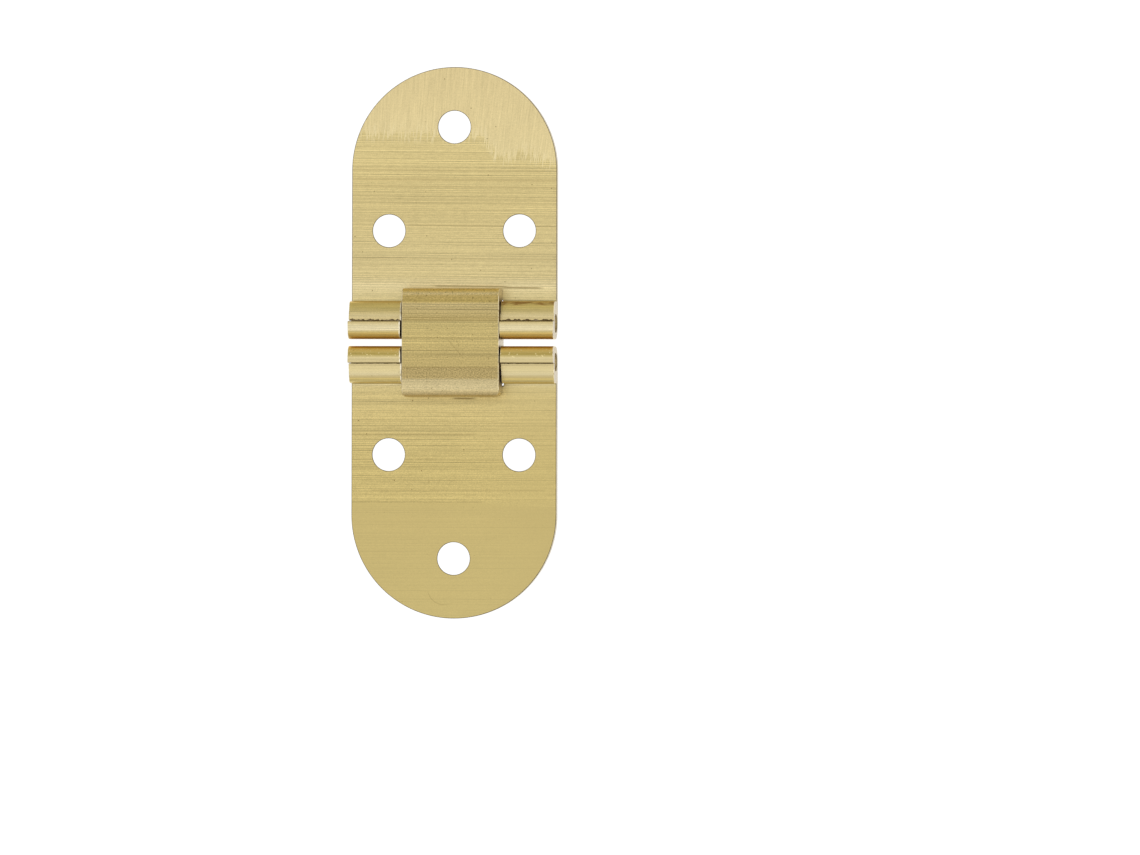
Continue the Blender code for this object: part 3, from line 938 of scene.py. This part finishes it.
upper_leaf = make_leaf(
    "upper_leaf_piece",
    tongue_side=0.30,
    root_end=3.20,
    notch=(-7.35, 7.16),
    wear=(0.08, 0.75, 0.55),
    turned_round=False,
    finishes=upper_finishes,
)
lower_leaf = make_leaf(
    "lower_leaf_piece",
    tongue_side=0.14,
    root_end=3.06,
    notch=(-7.285, 7.285),
    wear=(0.08, 0.16, 0.3),
    turned_round=True,
    finishes=lower_finishes,
)
link = make_link(link_finishes)
pin_finish = pin_brass()
upper_pin = make_pin("upper_pin_piece", PIN_OUT, pin_finish)
lower_pin = make_pin("lower_pin_piece", -PIN_OUT, pin_finish)

for piece, body, node, slot in (
    (upper_leaf, "upper_leaf", "upper_leaf", "leaf_brass"),
    (lower_leaf, "lower_leaf", "lower_leaf", "leaf_brass"),
    (link, "link", "centre_link", "link_brass"),
    (upper_pin, "upper_leaf", "upper_pin", "pin_brass"),
    (lower_pin, "lower_leaf", "lower_pin", "pin_brass"),
):
    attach(piece, body)
    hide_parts(node)


# ---------------------------------------------------------------- floor, light and camera

def make_floor():
    """A white floor well below, so that a leaf can swing down. It keeps a faint shadow."""
    object_mode()
    bpy.ops.mesh.primitive_plane_add(size=6, location=(0, 0, -FLOOR_DOWN * MM))
    floor = bpy.context.object
    floor.name = "floor"
    material = bpy.data.materials.new("white_floor")
    material.use_nodes = True
    tree = material.node_tree
    tree.nodes.clear()
    matt = tree.nodes.new("ShaderNodeBsdfDiffuse")
    matt.inputs["Color"].default_value = (0.82, 0.82, 0.82, 1)
    glow = tree.nodes.new("ShaderNodeEmission")
    glow.inputs["Strength"].default_value = 1.2
    rays = tree.nodes.new("ShaderNodeLightPath")
    seen = rays.outputs["Is Camera Ray"]
    for name in ("Is Glossy Ray", "Is Transmission Ray"):
        both = tree.nodes.new("ShaderNodeMath")
        both.operation = "MAXIMUM"
        tree.links.new(seen, both.inputs[0])
        tree.links.new(rays.outputs[name], both.inputs[1])
        seen = both.outputs[0]
    share = tree.nodes.new("ShaderNodeMath")
    share.operation = "MULTIPLY"
    tree.links.new(seen, share.inputs[0])
    share.inputs[1].default_value = 0.75
    mixed = tree.nodes.new("ShaderNodeMixShader")
    tree.links.new(share.outputs[0], mixed.inputs[0])
    tree.links.new(matt.outputs[0], mixed.inputs[1])
    tree.links.new(glow.outputs[0], mixed.inputs[2])
    out = tree.nodes.new("ShaderNodeOutputMaterial")
    tree.links.new(mixed.outputs[0], out.inputs["Surface"])
    floor.data.materials.append(material)


def make_lamp(name, direction, distance, size, level):
    """A soft square lamp that looks at the hinge and shows in the metal at this level."""
    object_mode()
    way = Vector(direction).normalized()
    bpy.ops.object.light_add(type="AREA", location=way * distance)
    lamp = bpy.context.object
    lamp.name = name
    lamp.rotation_euler = (-way).to_track_quat("-Z", "Y").to_euler()
    lamp.data.shape = "RECTANGLE"
    lamp.data.size, lamp.data.size_y = size
    lamp.data.energy = 4 * level * size[0] * size[1]
    return lamp


def make_world():
    world = bpy.data.worlds.new("studio")
    bpy.context.scene.world = world
    world.use_nodes = True
    tree = world.node_tree
    light = tree.nodes["Background"]
    light.inputs["Color"].default_value = (1, 1, 1, 1)
    light.inputs["Strength"].default_value = 0.60
    seen = tree.nodes.new("ShaderNodeBackground")
    seen.inputs["Strength"].default_value = 1.0
    seen.inputs["Color"].default_value = (1, 1, 1, 1)
    rays = tree.nodes.new("ShaderNodeLightPath")
    mixed = tree.nodes.new("ShaderNodeMixShader")
    tree.links.new(rays.outputs["Is Camera Ray"], mixed.inputs[0])
    tree.links.new(light.outputs[0], mixed.inputs[1])
    tree.links.new(seen.outputs[0], mixed.inputs[2])
    tree.links.new(mixed.outputs[0], tree.nodes["World Output"].inputs["Surface"])


def make_camera():
    """A long lens straight over the knuckle side, turned 7.3 degrees, with the hinge left of the middle."""
    distance = 1.2
    frame_width = 165.2
    aim_right, aim_down = 17.02, 12.25
    turn = math.radians(7.3)
    roll = math.radians(0.13)
    way = Vector((math.sin(turn), 0, math.cos(turn)))
    across = Vector((math.cos(turn), 0, -math.sin(turn)))
    aim = Vector((0, 0, 2.8 * MM)) + across * aim_right * MM + Vector((0, -aim_down * MM, 0))
    bpy.ops.object.camera_add(location=aim + way * distance, rotation=(0, turn, 0))
    bpy.ops.transform.rotate(value=-roll, orient_axis="Z", orient_type="LOCAL")
    camera = bpy.context.object
    camera.data.sensor_width = 36
    camera.data.lens = 36 * distance / (frame_width * MM)
    camera.data.clip_start = 0.05
    bpy.context.scene.camera = camera


make_floor()
make_lamp("overhead_lamp", (0.0, 0.0, 1.0), distance=1.5, size=(3.0, 3.0), level=0.22)
make_lamp("front_lamp", (0.14, -0.42, 1.0), distance=1.4, size=(1.9, 1.6), level=0.30)
make_lamp("side_lamp", (1.0, 0.0, 0.36), distance=1.5, size=(1.6, 0.9), level=0.7)
make_world()
make_camera()
bpy.context.scene.view_settings.view_transform = "Standard"
